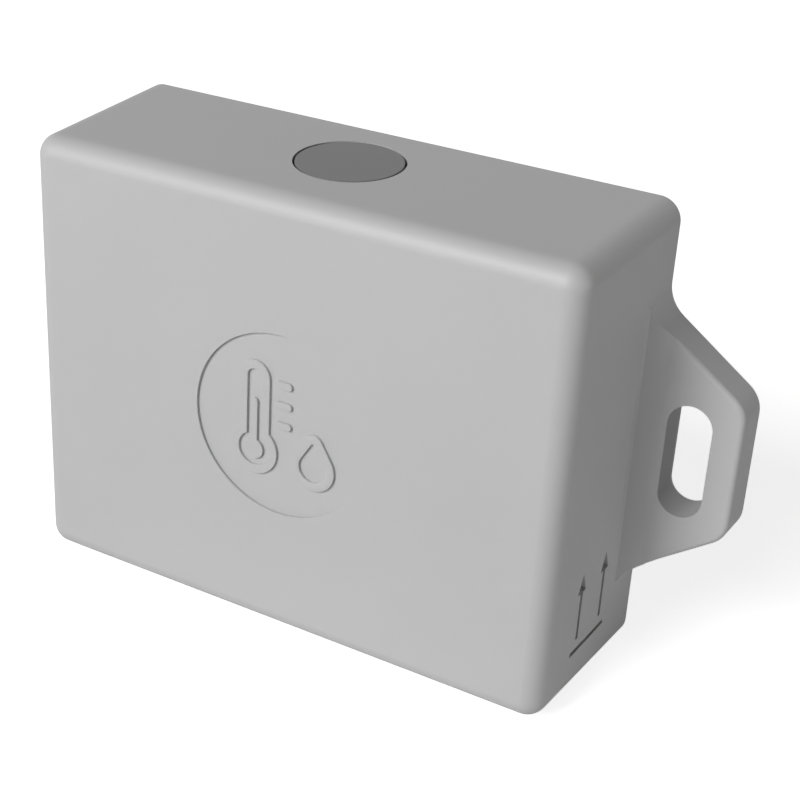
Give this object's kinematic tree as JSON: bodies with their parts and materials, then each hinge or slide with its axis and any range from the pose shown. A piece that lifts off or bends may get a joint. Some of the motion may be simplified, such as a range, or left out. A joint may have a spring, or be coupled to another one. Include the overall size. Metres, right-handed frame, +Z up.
{
  "type": "wireless environmental sensor",
  "caption": "Wall-mounted battery sensor for room climate: a drafted grey box with two slotted ears, a flush push button on top and a screwed rear cover.",
  "frame": {"origin": "middle of the footprint, on the plane that the box stands on", "axes": "+Z up through the button, +Y out of the back plane, which goes against the wall; the front faces -Y and the ears lie along X"},
  "size_m": [0.1094, 0.027, 0.065],
  "materials": {
    "housing": "fine satin moulded ABS",
    "rear_cover": "fine satin moulded ABS",
    "button": "matte moulded, dark grey",
    "gasket": "matte silicone sponge",
    "silicone": "matte silicone",
    "screw_steel": "turned stainless steel",
    "inner_plastic": "moulded",
    "black_plastic": "moulded, black",
    "plunger": "moulded, ivory",
    "board": "glass epoxy with green solder mask",
    "module_board": "glass epoxy with blue solder mask",
    "shield_metal": "tinned pressed steel",
    "can_metal": "drawn aluminium can",
    "chip": "moulded epoxy",
    "ceramic": "fired ceramic",
    "capacitor": "fired ceramic, brown",
    "resistor": "film on ceramic, black",
    "membrane": "stretched fluoropolymer film",
    "cell_steel": "nickel-plated drawn steel",
    "sleeve": "shrink sleeve, plain blue grey",
    "contact_brass": "pressed and wound, plated"
  },
  "bodies": {
    "root": {"housing": "housing", "rear_cover": "rear_cover", "cover_gasket": "gasket", "cover_screws": "screw_steel", "button_seal": "silicone", "seal_retainer": "inner_plastic", "retainer_screws": "screw_steel", "switch_board": "board", "tactile_switch": "black_plastic", "board_header": "black_plastic", "circuit_board": "board", "board_screws": "screw_steel", "radio_module": "module_board", "radio_shield": "shield_metal", "radio_chip": "chip", "chip_antenna": "ceramic", "microcontroller": "chip", "memory_chip": "chip", "voltage_regulator": "chip", "timing_crystals": "shield_metal", "chip_capacitors": "capacitor", "chip_resistors": "resistor", "storage_capacitors": "can_metal", "programming_header": "black_plastic", "climate_sensor": "chip", "vent_membrane": "membrane", "battery_holder": "black_plastic", "battery_cells": "cell_steel", "cell_sleeves": "sleeve", "positive_contacts": "contact_brass", "negative_contacts": "contact_brass"},
    "button": {"button_cap": "button"},
    "plunger": {"switch_plunger": "plunger"}
  },
  "joints": [
    {"name": "button_press", "type": "slide", "parent": "root", "child": "button", "axis": [0, 0, -1], "range_m": [0, 0.0006], "stiffness_N_per_m": 1500, "springref_m": -0.0005, "deforming": ["button_seal"]},
    {"name": "plunger_press", "type": "slide", "parent": "root", "child": "plunger", "axis": [0, 0, -1], "range_m": [0, 0.00024]}
  ],
  "couplings": [
    {"joint": "plunger_press", "follows": "button_press", "ratio": 0.4}
  ]
}
